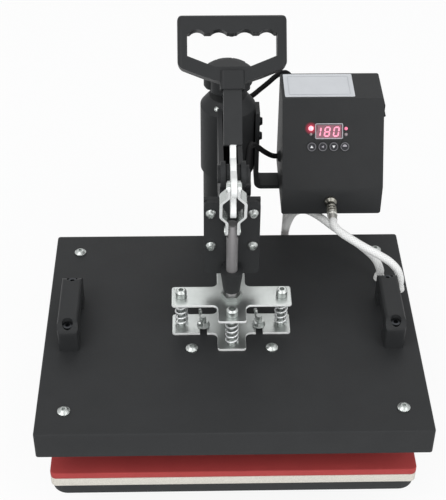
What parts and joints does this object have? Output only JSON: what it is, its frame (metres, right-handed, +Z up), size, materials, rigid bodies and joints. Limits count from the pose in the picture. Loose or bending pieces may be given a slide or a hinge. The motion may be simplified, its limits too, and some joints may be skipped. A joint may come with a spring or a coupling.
{
  "type": "flat heat press",
  "caption": "Swing-arm flat heat press: padded bed, heated platen on a spring-loaded cross head, toggle lever with stirrup grip, column with pressure knob and control box.",
  "frame": {"origin": "on the floor under the middle of the press's outline", "axes": "+Z up, +X to the user's right, +Y to the back, where the column stands"},
  "size_m": [0.4, 0.405, 0.4829],
  "materials": {
    "black_paint": "satin black paint",
    "bed_casting": "black painted casting",
    "zinc_steel": "bright zinc plate",
    "chrome": "hard chrome, polished",
    "plug_metal": "nickel plate",
    "stem_paint": "satin black paint",
    "black_plastic": "moulded, fine grain",
    "button_plastic": "smooth",
    "liner": "nylon",
    "window": "dark red filter",
    "board": "circuit board",
    "heater_aluminium": "plain, coated face",
    "mica": "mica sheet",
    "insulation": "ceramic fibre board",
    "foam": "white foam",
    "silicone": "red silicone",
    "foot_rubber": "matt",
    "white_sleeving": "woven glass sleeving",
    "white_grommet": "moulded",
    "black_lead": "smooth sheath"
  },
  "bodies": {
    "base": {"rail_left": "black_paint", "rail_right": "black_paint", "rear_crossbar": "black_paint", "feet": "foot_rubber", "bed_plate": "bed_casting", "base_bolts": "zinc_steel", "foam_layer": "foam", "silicone_pad": "silicone", "column_flange": "black_paint", "column_post": "black_paint"},
    "arm": {"swing_sleeve": "black_paint", "sleeve_liner": "liner", "arm_frame": "black_paint", "guide_plate": "black_paint", "guide_bush": "black_paint", "arm_bolts": "zinc_steel", "lever_pin": "black_paint", "box_bracket": "black_paint", "limit_switch": "black_plastic", "switch_lead": "black_lead", "earth_lead": "black_lead", "control_box_shell": "black_paint", "control_box_back": "black_paint", "mains_gland": "black_plastic", "switch_body": "black_plastic", "display_window": "window", "control_board": "board", "power_module": "board", "lead_socket": "plug_metal", "lead_plug": "plug_metal", "box_gland": "black_plastic"},
    "knob": {"star_knob": "black_plastic", "pressure_screw": "zinc_steel"},
    "lever": {"crank_plate": "zinc_steel", "lever_stem": "stem_paint", "d_grip": "black_plastic"},
    "ram": {"ram_rod": "chrome", "cross_plate_top": "zinc_steel", "ram_nuts": "zinc_steel"},
    "fork": {"fork_straps": "zinc_steel", "fork_pins": "zinc_steel"},
    "platen": {"heater_cover": "black_paint", "heater_plate": "heater_aluminium", "mica_heater": "mica", "insulation_board": "insulation", "cover_screws": "zinc_steel", "cross_plate_lower": "zinc_steel", "spring_bolts": "zinc_steel", "head_springs": "zinc_steel", "wing_studs": "zinc_steel", "handle_left": "black_plastic", "handle_right": "black_plastic", "cover_glands": "white_grommet", "plug_lead": "white_sleeving", "heater_lead": "white_sleeving"},
    "button_up": {"button_up": "button_plastic"},
    "button_cycle": {"button_cycle": "button_plastic"},
    "button_down": {"button_down": "button_plastic"},
    "button_set": {"button_set": "button_plastic"},
    "rocker": {"power_rocker": "black_plastic"}
  },
  "joints": [
    {"name": "arm_swing", "type": "hinge", "parent": "base", "child": "arm", "pos_m": [0, 0.1475, 0.27], "axis": [0, 0, 1], "range_deg": [-90, 90]},
    {"name": "lever_close", "type": "hinge", "parent": "arm", "child": "lever", "pos_m": [0, -0.0475, 0.3605], "axis": [1, 0, 0], "range_deg": [0, 85]},
    {"name": "ram_slide", "type": "slide", "parent": "arm", "child": "ram", "axis": [0, 0, -1], "range_m": [0, 0.0372]},
    {"name": "fork_swing", "type": "hinge", "parent": "ram", "child": "fork", "pos_m": [0, -0.0475, 0.29], "axis": [1, 0, 0], "range_deg": [-15.2, 0]},
    {"name": "platen_slide", "type": "slide", "parent": "arm", "child": "platen", "axis": [0, 0, -1], "range_m": [0, 0.0342], "deforming": ["head_springs", "plug_lead", "heater_lead"]},
    {"name": "knob_turn", "type": "hinge", "parent": "arm", "child": "knob", "pos_m": [0, 0.1475, 0.34], "axis": [0, 0, 1], "continuous": true},
    {"name": "button_up_press", "type": "slide", "parent": "arm", "child": "button_up", "axis": [0, 0.8645, -0.5026], "range_m": [0, 0.0006], "stiffness_N_per_m": 1500},
    {"name": "button_cycle_press", "type": "slide", "parent": "arm", "child": "button_cycle", "axis": [0, 0.8645, -0.5026], "range_m": [0, 0.0006], "stiffness_N_per_m": 1500},
    {"name": "button_down_press", "type": "slide", "parent": "arm", "child": "button_down", "axis": [0, 0.8645, -0.5026], "range_m": [0, 0.0006], "stiffness_N_per_m": 1500},
    {"name": "button_set_press", "type": "slide", "parent": "arm", "child": "button_set", "axis": [0, 0.8645, -0.5026], "range_m": [0, 0.0006], "stiffness_N_per_m": 1500},
    {"name": "rocker_tip", "type": "hinge", "parent": "arm", "child": "rocker", "pos_m": [0.1735, 0.1445, 0.308], "axis": [0, 1, 0], "range_deg": [0, 14]}
  ],
  "couplings": [
    {"joint": "ram_slide", "follows": "lever_close", "m_per_rad": 0.025069},
    {"joint": "platen_slide", "follows": "lever_close", "m_per_rad": 0.023047},
    {"joint": "fork_swing", "follows": "lever_close", "ratio": -0.17821}
  ]
}
